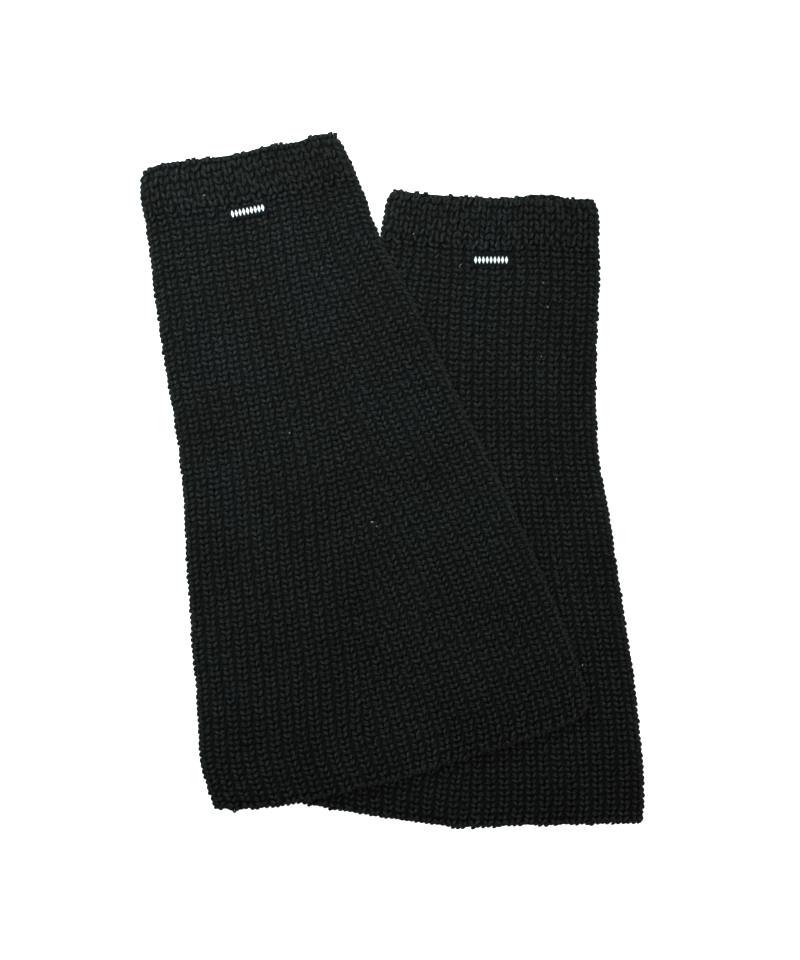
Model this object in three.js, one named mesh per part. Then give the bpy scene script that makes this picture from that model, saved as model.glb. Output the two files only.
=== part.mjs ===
import * as THREE from 'three';

// A pair of flared, chunky-knit leg warmers, laid flat, with the left one lying partly on the right one.
// Millimetres, +Z up. The surface that they lie on is z = 0, and the origin is the middle of their box.
// "down" runs from a warmer's top edge to its hem, and "across" from its left side fold to its right one.

// Layers of one warmer, as heights above what it lies on
const BACK_TOP = 2.7;
const FRONT_INSIDE = 3.3;
const FRONT_GROOVE = 5.9;
const RIB_RISE = 1.4;
const BAND_RISE = 0.8;
const SEAM_GAP = 0.35;

// Side folds: the cloth turns over this far in, and is this thick where the two panels are linked
const FOLD_REACH = 7;
const FOLD_EDGE = 0.5;
const FOLD_STEPS = [0, 0.17, 0.5, 1];

// The turned top band: how deep and how many ribs wide it is, how far in its top edge rounds over, and how
// far its back half shows above its front half. The panel starts at the seam with fewer, wider ribs.
const BAND_DEPTH = 31;
const BAND_RIBS = 20;
const SEAM_RIBS = 18;
const BAND_TURN = 3;
const BACK_BAND_PEEK = 1.2;

// Where a wall ends at the seam under the band, it dips this much over this length
const SEAM_DIP = 0.9;
const SEAM_ROW = 2.5;

// One rib: its crown lies between these two shares of its width
const CROWN_FROM = 0.22;
const CROWN_TO = 0.78;
const PARTIAL_RIB = 0.35;
const ROUNDING = 1e-6;

// Ribs are numbered from the left fold upwards, or from the right fold downwards from this number
const KEY_SPAN = 100;

// Edge row along the hem: its depth, the dip above it, and how far its end rounds down
const HEM_ROW = 3.6;
const HEM_DIP = 0.45;
const HEM_ROUND = 0.9;

// How the left warmer climbs onto the right one: how high, over what distance, and how far inside the
// other's outline it has reached its full height
const CLIMB = 7.7;
const CLIMB_REACH = 40;
const CLIMB_INSIDE = 1;

// Woven label
const LABEL_LENGTH = 26.4;
const LABEL_WIDTH = 8.6;
const LABEL_THICKNESS = 0.8;

const leftWarmer = {
  name: 'left',
  x: -100.1,
  y: 215.2,
  lean: 15,
  length: 412.8,
  steadySide: 'left',
  steadyRibs: 12,
  hemPitch: { steady: 9.3, growing: 8.6 },
  climbs: true,
  rows: 16,
  columns: 16,
  label: { down: 38.6, across: -4.8, turn: -3.5 },
  // Where the two side folds are, at each distance down
  sections: [
    { down: 0, left: -65.0, right: 65.0 },
    { down: 7, left: -69.0, right: 67.0 },
    { down: 19, left: -71.6, right: 69.2 },
    { down: 31, left: -72.3, right: 70.8 },
    { down: 46, left: -74.0, right: 72.4 },
    { down: 72, left: -78.0, right: 74.7 },
    { down: 98, left: -81.2, right: 80.2 },
    { down: 129, left: -84.9, right: 86.9 },
    { down: 165, left: -88.2, right: 93.1 },
    { down: 204, left: -93.8, right: 100.2 },
    { down: 256, left: -104.9, right: 110.6 },
    { down: 308, left: -115.4, right: 119.8 },
    { down: 334, left: -119.9, right: 123.1 },
    { down: 360, left: -125.4, right: 126.3 },
    { down: 376, left: -128.8, right: 127.8 },
    { down: 394, left: -129.6, right: 128.8 },
    { down: 412.8, left: -127.8, right: 126.4 },
  ],
  // How much further down than the tables' rows the top edge and the hem run, at each share of the width
  edges: [
    { share: 0, top: -4.5, hem: 0 },
    { share: 0.08, top: -6.4, hem: 5.0 },
    { share: 0.16, top: -5.6, hem: 8.4 },
    { share: 0.26, top: -3.8, hem: 10.6 },
    { share: 0.38, top: -1.4, hem: 11.8 },
    { share: 0.5, top: 0.2, hem: 12.4 },
    { share: 0.64, top: 0.2, hem: 10.6 },
    { share: 0.79, top: 2.7, hem: 9.3 },
    { share: 0.88, top: 1.4, hem: 7.6 },
    { share: 0.95, top: 2.4, hem: 5.7 },
    { share: 1, top: 5.2, hem: 0 },
  ],
};

const rightWarmer = {
  name: 'right',
  x: 66.6,
  y: 186.1,
  lean: -3.7,
  length: 403.5,
  steadySide: 'right',
  steadyRibs: 13,
  hemPitch: { steady: 8.9, growing: 8.7 },
  climbs: false,
  rows: 13,
  columns: 8,
  label: { down: 41.6, across: 1.0, turn: 3.7 },
  sections: [
    { down: 0, left: -65.2, right: 66.3 },
    { down: 7, left: -70.4, right: 69.8 },
    { down: 19, left: -71.6, right: 71.2 },
    { down: 31, left: -73.0, right: 71.9 },
    { down: 50, left: -75.0, right: 73.9 },
    { down: 76, left: -78.6, right: 74.3 },
    { down: 116, left: -84.6, right: 75.5 },
    { down: 145, left: -88.6, right: 78.0 },
    { down: 168, left: -91.6, right: 81.2 },
    { down: 200, left: -96.6, right: 89.2 },
    { down: 246, left: -104.6, right: 99.4 },
    { down: 298, left: -113.6, right: 110.8 },
    { down: 351, left: -122.2, right: 120.7 },
    { down: 385, left: -126.2, right: 124.9 },
    { down: 403.5, left: -126.4, right: 124.8 },
  ],
  edges: [
    { share: 0, top: -1.0, hem: -1.5 },
    { share: 0.09, top: 0.3, hem: 2.8 },
    { share: 0.21, top: 0.8, hem: 6.4 },
    { share: 0.33, top: 0.8, hem: 9.2 },
    { share: 0.45, top: 0.6, hem: 11.6 },
    { share: 0.52, top: 0.4, hem: 12.4 },
    { share: 0.69, top: -1.8, hem: 8.4 },
    { share: 0.81, top: -2.2, hem: 6.0 },
    { share: 0.93, top: -2.4, hem: 2.8 },
    { share: 1, top: -3.2, hem: 1.4 },
  ],
};

// A smooth curve through one column of a table
function follow(table, key, column, at) {
  const last = table.length - 1;
  let k = 0;
  while (k < last - 1 && table[k + 1][key] < at) k += 1;
  const slope = (j) => {
    const low = table[Math.max(j - 1, 0)];
    const high = table[Math.min(j + 1, last)];
    return (high[column] - low[column]) / (high[key] - low[key]);
  };
  const a = table[k];
  const b = table[k + 1];
  const span = b[key] - a[key];
  const u = Math.min(Math.max((at - a[key]) / span, 0), 1);
  const toB = u * u * (3 - 2 * u);
  const bend = span * u * (1 - u) * ((1 - u) * slope(k) - u * slope(k + 1));
  return a[column] * (1 - toB) + b[column] * toB + bend;
}

// Plan position of a point of a warmer
function plan(warmer, down, across) {
  const lean = THREE.MathUtils.degToRad(warmer.lean);
  return new THREE.Vector2(
    warmer.x + down * Math.sin(lean) + across * Math.cos(lean),
    warmer.y - down * Math.cos(lean) + across * Math.sin(lean),
  );
}

// One row of a warmer: its two folds, and how far down each share of its width lies
function rowAt(warmer, down) {
  const left = follow(warmer.sections, 'down', 'left', down);
  const right = follow(warmer.sections, 'down', 'right', down);
  const v = down / warmer.length;
  const bowed = (across) => {
    const share = (across - left) / (right - left);
    const top = follow(warmer.edges, 'share', 'top', share);
    const hem = follow(warmer.edges, 'share', 'hem', share);
    return down + top * (1 - v) ** 2 + hem * v;
  };
  return { left, right, bowed, down };
}

// Rib widths at one row. The band's ribs share its width. Below it, the ribs of the steady and of the
// growing family widen evenly to the hem.
function ribPitch(warmer, row) {
  const even = (row.right - row.left) / BAND_RIBS;
  if (row.down <= BAND_DEPTH) return { steady: even, growing: even };
  const seam = rowAt(warmer, BAND_DEPTH);
  const start = (seam.right - seam.left) / SEAM_RIBS;
  const share = (row.down - BAND_DEPTH) / (warmer.length - BAND_DEPTH);
  const { steady, growing } = warmer.hemPitch;
  return {
    steady: THREE.MathUtils.lerp(start, steady, share),
    growing: THREE.MathUtils.lerp(start, growing, share),
  };
}

// Ribs counted from one fold: {g, rise} pairs, where g is in ribs and rise is 0 in a groove and 1 on a crown
function ribsFromFold(count) {
  const points = [];
  const whole = Math.floor(count + ROUNDING);
  for (let k = 0; k < whole; k += 1) {
    points.push({ g: k, rise: 0 }, { g: k + CROWN_FROM, rise: 1 }, { g: k + CROWN_TO, rise: 1 });
  }
  const rest = count - whole;
  points.push({ g: whole, rise: 0 });
  if (rest > PARTIAL_RIB) {
    points.push({ g: whole + rest * CROWN_FROM, rise: rest, named: whole + CROWN_FROM });
    points.push({ g: whole + rest * CROWN_TO, rise: rest, named: whole + CROWN_TO });
  }
  return points;
}

// All rib points of a row, from left to right. A steady family of ribs keeps its number, and the ribs of
// the other fold's family start one by one on the line where the two families meet.
function ribPoints(warmer, row) {
  const pitch = ribPitch(warmer, row);
  const rest = row.right - row.left - warmer.steadyRibs * pitch.steady;
  const place = (count, width) => ribsFromFold(count).map(({ g, rise, named }) => {
    return { inwards: g * width, rise, number: named ?? g };
  });
  const steady = place(warmer.steadyRibs, pitch.steady);
  const growing = place(rest / pitch.growing, pitch.growing);
  const steadyLeft = warmer.steadySide === 'left';
  const fromLeft = steadyLeft ? steady : growing;
  const fromRight = (steadyLeft ? growing : steady).reverse();
  return [
    ...fromLeft.map(({ inwards, rise, number }) => ({ across: row.left + inwards, rise, key: number })),
    ...fromRight.map(({ inwards, rise, number }) => {
      return { across: row.right - inwards, rise, key: KEY_SPAN - number };
    }),
  ];
}

// Plain columns of a row: close together at the folds, even between them
function plainPoints(warmer, row) {
  const atFold = FOLD_STEPS.map((share) => share * FOLD_REACH);
  const inner = row.right - row.left - 2 * FOLD_REACH;
  const even = Array.from({ length: warmer.columns - 1 }, (_, k) => {
    return FOLD_REACH + (inner * (k + 1)) / warmer.columns;
  });
  const fromLeft = [...atFold, ...even].map((distance) => row.left + distance);
  const fromRight = atFold.map((distance) => row.right - distance).reverse();
  return [...fromLeft, ...fromRight].map((across, key) => ({ across, rise: 0, key }));
}

// 0 at a side fold and 1 from FOLD_REACH inwards, as a quarter circle
function foldRound(row, across) {
  const distance = Math.max(Math.min(across - row.left, row.right - across), 0);
  const short = 1 - Math.min(distance / FOLD_REACH, 1);
  return Math.sqrt(1 - short * short);
}

// The right warmer's outline in plan, which the left one climbs over
function outline(warmer) {
  const steps = 24;
  const downs = Array.from({ length: steps + 1 }, (_, k) => (warmer.length * k) / steps);
  const rows = downs.map((down) => rowAt(warmer, down));
  const along = (row) => downs.map((_, k) => THREE.MathUtils.lerp(row.left, row.right, k / steps));
  const side = (edge) => rows.map((row) => plan(warmer, row.bowed(row[edge]), row[edge]));
  const end = (row) => along(row).map((across) => plan(warmer, row.bowed(across), across));
  return [...side('left'), ...end(rows[steps]), ...side('right').reverse(), ...end(rows[0]).reverse()];
}

const underneath = outline(rightWarmer);

// Distance from a point to the outline underneath, positive inside it
function distanceInside(point) {
  let nearest = Infinity;
  let inside = false;
  underneath.forEach((a, k) => {
    const b = underneath[(k + 1) % underneath.length];
    const edge = b.clone().sub(a);
    const offset = point.clone().sub(a);
    const along = THREE.MathUtils.clamp(offset.dot(edge) / Math.max(edge.lengthSq(), 1e-9), 0, 1);
    nearest = Math.min(nearest, offset.distanceTo(edge.multiplyScalar(along)));
    const crosses = a.y > point.y !== b.y > point.y;
    if (crosses && point.x < a.x + ((b.x - a.x) * (point.y - a.y)) / (b.y - a.y)) inside = !inside;
  });
  return inside ? nearest : -nearest;
}

// How far a warmer is lifted at a place in plan
function lift(warmer, point) {
  if (!warmer.climbs) return 0;
  const share = (distanceInside(point) + CLIMB_REACH - CLIMB_INSIDE) / CLIMB_REACH;
  return CLIMB * THREE.MathUtils.smoothstep(share, 0, 1);
}

function raise(warmer, down, across, height) {
  const place = plan(warmer, down, across);
  return new THREE.Vector3(place.x, place.y, height + lift(warmer, place));
}

// A row of points in space, each with the key by which neighbouring rows are joined
function layRow(warmer, row, points, height) {
  return points.map(({ across, rise, key }) => {
    const position = raise(warmer, row.bowed(across), across, height(across, rise));
    return { position, key };
  });
}

// Triangles between two rows that may differ in number of points
function zip(a, b, faces) {
  let i = 0;
  let j = 0;
  while (i < a.length - 1 || j < b.length - 1) {
    const nextA = j === b.length - 1 || (i < a.length - 1 && a[i + 1].key <= b[j + 1].key);
    if (nextA) {
      faces.push([a[i].index, b[j].index, a[i + 1].index]);
      i += 1;
    } else {
      faces.push([a[i].index, b[j].index, b[j + 1].index]);
      j += 1;
    }
  }
}

// A closed wall from rows of points on its upper and its lower side
function wall(upper, lower) {
  const positions = [];
  for (const row of [...upper, ...lower]) {
    for (const point of row) {
      point.index = positions.length / 3;
      positions.push(...point.position.toArray());
    }
  }
  const faces = [];
  const flipped = [];
  const last = upper.length - 1;
  for (let k = 0; k < last; k += 1) {
    zip(upper[k], upper[k + 1], faces);
    zip(lower[k], lower[k + 1], flipped);
    const [a, b, c, d] = [upper[k][0], upper[k + 1][0], lower[k + 1][0], lower[k][0]];
    faces.push([b.index, a.index, d.index], [b.index, d.index, c.index]);
    const [e, f, g, h] = [upper[k].at(-1), upper[k + 1].at(-1), lower[k + 1].at(-1), lower[k].at(-1)];
    faces.push([e.index, f.index, g.index], [e.index, g.index, h.index]);
  }
  flipped.forEach(([a, b, c]) => faces.push([a, c, b]));
  zip(byShare(lower[0]), byShare(upper[0]), faces);
  zip(byShare(upper[last]), byShare(lower[last]), faces);
  const geometry = new THREE.BufferGeometry();
  geometry.setAttribute('position', new THREE.Float32BufferAttribute(positions, 3));
  geometry.setIndex(faces.flat());
  geometry.computeVertexNormals();
  return geometry;
}

// The same row with keys that say how far along it each point lies
function byShare(row) {
  const start = row[0].position;
  const end = row.at(-1).position;
  return row.map(({ position, index }) => {
    return { index, key: position.distanceTo(start) - position.distanceTo(end) };
  });
}

// Rows of a panel's ribbed outside, with how much of the ribs' rise and of the full height each row has
function panelRows(warmer) {
  const start = BAND_DEPTH + SEAM_GAP;
  const end = warmer.length;
  const from = start + SEAM_ROW;
  const to = end - 1.3 * HEM_ROW;
  const ribbed = Array.from({ length: warmer.rows + 1 }, (_, k) => {
    return { down: THREE.MathUtils.lerp(from, to, k / warmer.rows), rise: 1, sink: 0 };
  });
  return [
    { down: start, rise: 0.2, sink: SEAM_DIP },
    ...ribbed,
    { down: end - HEM_ROW, rise: 0.3, sink: HEM_DIP },
    { down: end - 0.5 * HEM_ROW, rise: 0.8, sink: 0 },
    { down: end, rise: 0.4, sink: HEM_ROUND },
  ];
}

// Rows of the band's outside, which turns over at the top edge
function bandRows() {
  return [
    { down: 0, rise: 0.2, sink: BAND_TURN },
    { down: 0.3 * BAND_TURN, rise: 0.7, sink: 0.29 * BAND_TURN },
    { down: BAND_TURN, rise: 1, sink: 0 },
    { down: 0.5 * BAND_DEPTH, rise: 1, sink: 0 },
    { down: BAND_DEPTH - SEAM_ROW, rise: 1, sink: 0 },
    { down: BAND_DEPTH, rise: 0.2, sink: SEAM_DIP + 0.5 * BAND_RISE },
  ];
}

// Front wall: ribs outside, plain inside
function frontWall(warmer, rows, extra) {
  const edge = FRONT_INSIDE + FOLD_EDGE;
  const upper = [];
  const lower = [];
  for (const { down, rise: share, sink } of rows) {
    const row = rowAt(warmer, down);
    const outside = (across, rise) => {
      const full = FRONT_GROOVE + extra + RIB_RISE * rise * share - sink;
      return edge + (full - edge) * foldRound(row, across);
    };
    upper.push(layRow(warmer, row, ribPoints(warmer, row), outside));
    lower.push(layRow(warmer, row, plainPoints(warmer, row), () => FRONT_INSIDE));
  }
  return wall(upper, lower);
}

// Back wall: plain on both sides, flat underneath, rounded up at the side folds
function backWall(warmer, downs) {
  const upper = [];
  const lower = [];
  for (const down of downs) {
    const row = rowAt(warmer, down);
    const points = plainPoints(warmer, row);
    const under = (across) => (BACK_TOP - FOLD_EDGE) * (1 - foldRound(row, across));
    upper.push(layRow(warmer, row, points, () => BACK_TOP));
    lower.push(layRow(warmer, row, points, under));
  }
  return wall(upper, lower);
}

// The label lies on the rib crowns of the front panel
function labelWall(warmer) {
  const { down, across, turn } = warmer.label;
  const angle = THREE.MathUtils.degToRad(turn);
  const crown = FRONT_GROOVE + RIB_RISE + SEAM_GAP;
  const grid = (height) => [-0.5, 0, 0.5].map((v) => {
    return [-0.5, -0.25, 0, 0.25, 0.5].map((u, key) => {
      const x = u * LABEL_LENGTH;
      const y = v * LABEL_WIDTH;
      const alongDown = down + y * Math.cos(angle) - x * Math.sin(angle);
      const alongAcross = across + x * Math.cos(angle) + y * Math.sin(angle);
      return { position: raise(warmer, alongDown, alongAcross, height), key };
    });
  });
  return wall(grid(crown + LABEL_THICKNESS), grid(crown));
}

function knit() {
  return new THREE.MeshStandardMaterial({ color: '#1f2322', roughness: 0.95, metalness: 0 });
}

function woven() {
  return new THREE.MeshStandardMaterial({ color: '#0d0e10', roughness: 0.7, metalness: 0 });
}

function piece(name, geometry, material) {
  const mesh = new THREE.Mesh(geometry, material);
  mesh.name = name;
  return mesh;
}

function makeWarmer(warmer) {
  const group = new THREE.Group();
  const panel = panelRows(warmer);
  const band = bandRows();
  const backBand = band.map(({ down }) => down);
  backBand[0] = -BACK_BAND_PEEK;
  group.add(piece(`${warmer.name}_front_panel`, frontWall(warmer, panel, 0), knit()));
  group.add(piece(`${warmer.name}_back_panel`, backWall(warmer, panel.map(({ down }) => down)), knit()));
  group.add(piece(`${warmer.name}_front_band`, frontWall(warmer, band, BAND_RISE), knit()));
  group.add(piece(`${warmer.name}_back_band`, backWall(warmer, backBand), knit()));
  group.add(piece(`${warmer.name}_label`, labelWall(warmer), woven()));
  return group;
}

const legWarmers = new THREE.Group();
legWarmers.add(makeWarmer(leftWarmer), makeWarmer(rightWarmer));

export default legWarmers;
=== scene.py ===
"""A pair of flared, chunky-knit leg warmers, laid flat, the left one partly on the right one."""

import math

import bpy
import numpy as np
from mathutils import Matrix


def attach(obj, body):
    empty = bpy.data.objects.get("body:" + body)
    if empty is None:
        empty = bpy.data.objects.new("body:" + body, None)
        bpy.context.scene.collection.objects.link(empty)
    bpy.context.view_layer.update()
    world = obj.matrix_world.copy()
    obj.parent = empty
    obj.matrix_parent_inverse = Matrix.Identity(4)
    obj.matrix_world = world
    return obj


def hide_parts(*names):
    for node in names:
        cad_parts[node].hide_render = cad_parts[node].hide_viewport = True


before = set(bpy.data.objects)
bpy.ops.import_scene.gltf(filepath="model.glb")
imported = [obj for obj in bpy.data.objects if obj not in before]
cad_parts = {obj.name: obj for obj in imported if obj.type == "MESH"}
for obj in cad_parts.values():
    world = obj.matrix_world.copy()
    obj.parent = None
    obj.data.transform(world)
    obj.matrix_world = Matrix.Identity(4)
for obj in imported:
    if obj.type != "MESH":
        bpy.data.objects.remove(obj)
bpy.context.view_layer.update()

bl_info = {
    "name": "Flared leg warmers",
    "version": (1, 0, 0),
    "blender": (4, 5, 0),
    "location": "3D View > Sidebar > Leg warmers",
    "description": "Builds a pair of flared, chunky-knit leg warmers, laid flat, and a plain studio stage",
    "category": "Add Mesh",
}

# Units and repeatability
MM = 0.001
SEED = 4101
SMALL = 1e-9
UP = np.array([0.0, 0.0, 1.0])

# How much yarn one ply takes to go round it once, in millimetres
PLY_LENGTH = 6.5

# Heights of the layers of one warmer above what it lies on, in millimetres, as in the solids
BACK_TOP = 2.7
FRONT_INSIDE = 3.3
PANEL_CROWN = 7.3
BAND_CROWN = 8.1
LABEL_GAP = 0.35

# Side folds: the cloth rounds over this far in, and its two faces meet at these heights
FOLD_REACH = 7.0
FRONT_FOLD_HEIGHT = 3.8
BACK_FOLD_HEIGHT = 2.2
FOLD_MIDDLE = 3.0
FOLD_STEPS = (0.0, 0.17, 0.5, 1.0)

# The turned top band, in millimetres
BAND_DEPTH = 31.0
BAND_RIBS = 20
SEAM_RIBS = 18
BAND_TURN = 3.0
BACK_BAND_PEEK = 1.2
PEEK_SLOPE = 6.0

# On the fan line, a new rib comes in once this share of a rib's width is free. It starts this wide, and the
# last ribs before it share what is left over.
NEW_RIB_FROM = 0.4
NEW_RIB_WIDTH = 0.55
FAN_RIBS = 4
ROUNDING = 1e-6

# How the left warmer climbs onto the right one, in millimetres
CLIMB = 7.7
CLIMB_REACH = 40.0
CLIMB_INSIDE = 1.0
OUTLINE_STEPS = 24

# Stitches this deep between the two warmers are never seen, and are left out
HIDDEN_DEPTH = 22.0


class Warmer:
    """One leg warmer as it lies: its middle line, its two side folds and its bowed ends, in millimetres."""

    def __init__(
        self,
        name,
        x,
        y,
        lean,
        length,
        steady,
        steady_ribs,
        hem_pitch,
        climbs,
        label,
        back_peek,
        sections,
        edges,
    ):
        self.name = name
        self.x = x
        self.y = y
        self.lean = math.radians(lean)
        self.length = length
        self.steady_from_left = steady == "left"
        self.steady_ribs = steady_ribs
        self.hem_pitch = hem_pitch
        self.climbs = climbs
        self.label = label
        self.back_peek = back_peek
        self.sections = np.array(sections).T
        self.edges = np.array(edges).T
        self.across_axis = np.array([math.cos(self.lean), math.sin(self.lean), 0.0])
        self.down_axis = np.array([math.sin(self.lean), -math.cos(self.lean), 0.0])

    def left(self, down):
        return follow(self.sections[0], self.sections[1], down)

    def right(self, down):
        return follow(self.sections[0], self.sections[2], down)

    def pitch(self, down, steady, in_band):
        """Rib width at a row. A band's ribs share its width, and a panel's widen evenly to its hem."""
        if in_band:
            return (self.right(down) - self.left(down)) / BAND_RIBS
        seam = (self.right(BAND_DEPTH) - self.left(BAND_DEPTH)) / SEAM_RIBS
        share = (down - BAND_DEPTH) / (self.length - BAND_DEPTH)
        return seam + (np.where(steady, self.hem_pitch[0], self.hem_pitch[1]) - seam) * share

    def peek(self, across):
        """How much further the back of the band shows above the front at a place across."""
        low, high, extra = self.back_peek
        return extra * smoothstep((across - low) / PEEK_SLOPE) * smoothstep((high - across) / PEEK_SLOPE)

    def bowed(self, down, across):
        """How far down a point of a row really lies, since the top edge and the hem are bowed."""
        left = self.left(down)
        share = (across - left) / (self.right(down) - left)
        v = down / self.length
        top = follow(self.edges[0], self.edges[1], share)
        hem = follow(self.edges[0], self.edges[2], share)
        return down + top * (1 - v) ** 2 + hem * v

    def plan(self, down, across):
        """Place in plan of a point that really lies this far down."""
        x = self.x + down * self.down_axis[0] + across * self.across_axis[0]
        y = self.y + down * self.down_axis[1] + across * self.across_axis[1]
        return x, y

    def lay(self, down, across, height):
        """Points in space, from row, place across and height, with the climb onto the other warmer."""
        down, across, height = np.broadcast_arrays(down, across, height)
        x, y = self.plan(self.bowed(down, across), across)
        return np.stack([x, y, height + self.lift(x, y)], axis=-1)

    def lift(self, x, y):
        if not self.climbs:
            return np.zeros_like(x)
        share = (distance_inside(x, y, outline(RIGHT)) + CLIMB_REACH - CLIMB_INSIDE) / CLIMB_REACH
        return CLIMB * smoothstep(share)


def follow(keys, values, at):
    """A smooth curve through one column of a table, as the solids' source has it."""
    at = np.asarray(at, float)
    k = np.clip(np.searchsorted(keys, at, side="left") - 1, 0, len(keys) - 2)
    low = np.maximum(np.arange(len(keys)) - 1, 0)
    high = np.minimum(np.arange(len(keys)) + 1, len(keys) - 1)
    slope = (values[high] - values[low]) / (keys[high] - keys[low])
    span = keys[k + 1] - keys[k]
    u = np.clip((at - keys[k]) / span, 0, 1)
    to_next = smoothstep(u)
    bend = span * u * (1 - u) * ((1 - u) * slope[k] - u * slope[k + 1])
    return values[k] * (1 - to_next) + values[k + 1] * to_next + bend


def smoothstep(share):
    share = np.clip(share, 0, 1)
    return share * share * (3 - 2 * share)


def outline(warmer):
    """The outline of a warmer in plan, as a closed row of points."""
    downs = np.linspace(0, warmer.length, OUTLINE_STEPS + 1)
    ends = []
    for down in (warmer.length, 0.0):
        across = np.linspace(warmer.left(down), warmer.right(down), OUTLINE_STEPS + 1)
        ends.append(np.stack(warmer.plan(warmer.bowed(down, across), across), axis=-1))
    sides = []
    for across in (warmer.left(downs), warmer.right(downs)):
        sides.append(np.stack(warmer.plan(warmer.bowed(downs, across), across), axis=-1))
    return np.concatenate([sides[0], ends[0], sides[1][::-1], ends[1][::-1]])


def distance_inside(x, y, polygon):
    """Distance of points to a closed outline, positive inside it."""
    x = np.asarray(x, float)
    y = np.asarray(y, float)
    nearest = np.full(x.shape, np.inf)
    inside = np.zeros(x.shape, bool)
    for a, b in zip(polygon, np.roll(polygon, -1, axis=0)):
        edge = b - a
        length = max(float(edge @ edge), SMALL)
        along = np.clip(((x - a[0]) * edge[0] + (y - a[1]) * edge[1]) / length, 0, 1)
        gap = np.hypot(x - a[0] - along * edge[0], y - a[1] - along * edge[1])
        nearest = np.minimum(nearest, gap)
        if a[1] != b[1]:
            crosses = (a[1] > y) != (b[1] > y)
            inside ^= crosses & (x < a[0] + edge[0] * (y - a[1]) / edge[1])
    return np.where(inside, nearest, -nearest)


# Rows of the two tables: distance down, left fold, right fold; and share of the width, top edge, hem
LEFT = Warmer(
    name="left",
    x=-100.1,
    y=215.2,
    lean=15.0,
    length=412.8,
    steady="left",
    steady_ribs=12,
    hem_pitch=(9.3, 8.6),
    climbs=True,
    label=(38.6, -4.8, -3.5),
    back_peek=(0, 0, 0),
    sections=[
        (0, -65.0, 65.0),
        (7, -69.0, 67.0),
        (19, -71.6, 69.2),
        (31, -72.3, 70.8),
        (46, -74.0, 72.4),
        (72, -78.0, 74.7),
        (98, -81.2, 80.2),
        (129, -84.9, 86.9),
        (165, -88.2, 93.1),
        (204, -93.8, 100.2),
        (256, -104.9, 110.6),
        (308, -115.4, 119.8),
        (334, -119.9, 123.1),
        (360, -125.4, 126.3),
        (376, -128.8, 127.8),
        (394, -129.6, 128.8),
        (412.8, -127.8, 126.4),
    ],
    edges=[
        (0, -4.5, 0.0),
        (0.08, -6.4, 5.0),
        (0.16, -5.6, 8.4),
        (0.26, -3.8, 10.6),
        (0.38, -1.4, 11.8),
        (0.5, 0.2, 12.4),
        (0.64, 0.2, 10.6),
        (0.79, 2.7, 9.3),
        (0.88, 1.4, 7.6),
        (0.95, 2.4, 5.7),
        (1, 5.2, 0.0),
    ],
)

RIGHT = Warmer(
    name="right",
    x=66.6,
    y=186.1,
    lean=-3.7,
    length=403.5,
    steady="right",
    steady_ribs=13,
    hem_pitch=(8.9, 8.7),
    climbs=False,
    label=(41.6, 1.0, 3.7),
    back_peek=(18.0, 48.0, 2.0),
    sections=[
        (0, -65.2, 66.3),
        (7, -70.4, 69.8),
        (19, -71.6, 71.2),
        (31, -73.0, 71.9),
        (50, -75.0, 73.9),
        (76, -78.6, 74.3),
        (116, -84.6, 75.5),
        (145, -88.6, 78.0),
        (168, -91.6, 81.2),
        (200, -96.6, 89.2),
        (246, -104.6, 99.4),
        (298, -113.6, 110.8),
        (351, -122.2, 120.7),
        (385, -126.2, 124.9),
        (403.5, -126.4, 124.8),
    ],
    edges=[
        (0, -1.0, -1.5),
        (0.09, 0.3, 2.8),
        (0.21, 0.8, 6.4),
        (0.33, 0.8, 9.2),
        (0.45, 0.6, 11.6),
        (0.52, 0.4, 12.4),
        (0.69, -1.8, 8.4),
        (0.81, -2.2, 6.0),
        (0.93, -2.4, 2.8),
        (1, -3.2, 1.4),
    ],
)

WARMERS = (LEFT, RIGHT)


def linear(code):
    """An sRGB hex colour as linear red, green and blue."""
    levels = [int(code[k : k + 2], 16) / 255 for k in (1, 3, 5)]
    return tuple(v / 12.92 if v <= 0.04045 else ((v + 0.055) / 1.055) ** 2.4 for v in levels)


def length_property(name, description, default, lowest, highest):
    """A length setting. Its three numbers are in millimetres."""
    return bpy.props.FloatProperty(
        name=name,
        description=description,
        default=default * MM,
        min=lowest * MM,
        max=highest * MM,
        unit="LENGTH",
        precision=5,
    )


def colour_property(name, description, code):
    """A colour setting, from an sRGB hex colour."""
    return bpy.props.FloatVectorProperty(
        name=name,
        description=description,
        default=linear(code),
        size=3,
        min=0,
        max=1,
        subtype="COLOR",
    )


class KnitSettings(bpy.types.PropertyGroup):
    """Sizes and colours of the knit"""

    course: length_property(
        "Course height",
        "Distance from one row of stitches to the next",
        3.7,
        2.5,
        6,
    )
    yarn: length_property(
        "Yarn thickness",
        "Thickness of the yarn at the middle of a stitch leg",
        2.75,
        1.5,
        4,
    )
    band_course: length_property(
        "Band course height",
        "Distance from one row of stitches to the next in the turned bands",
        4.6,
        2.5,
        7,
    )
    band_rise: length_property(
        "Band leg rise",
        "How far up a leg of a stitch runs in the turned bands, where stitches stand upright",
        4.6,
        1,
        8,
    )
    rise: length_property(
        "Leg rise",
        "How far up a leg of a stitch runs from its lower end to its upper end",
        2.35,
        1,
        6,
    )
    colour: colour_property("Yarn colour", "Colour of the dyed fibre where light meets it full on", "#1c1c1b")
    shade: colour_property("Shaded fibre", "Colour between the plies and in the ground", "#101110")


class LabelSettings(bpy.types.PropertyGroup):
    """Sizes and colours of the woven labels"""

    length: length_property("Length", "Length of a label between its two turned ends", 26.4, 10, 60)
    width: length_property("Width", "Width of the label tape", 8.6, 5, 20)
    thickness: length_property("Thickness", "Thickness of the label with its turned ends", 0.8, 0.3, 2)
    ground: colour_property("Ground thread", "Colour of the label's ground", "#090a0c")
    figure: colour_property("Figure thread", "Colour of the woven lozenges", "#e9ebea")


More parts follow.
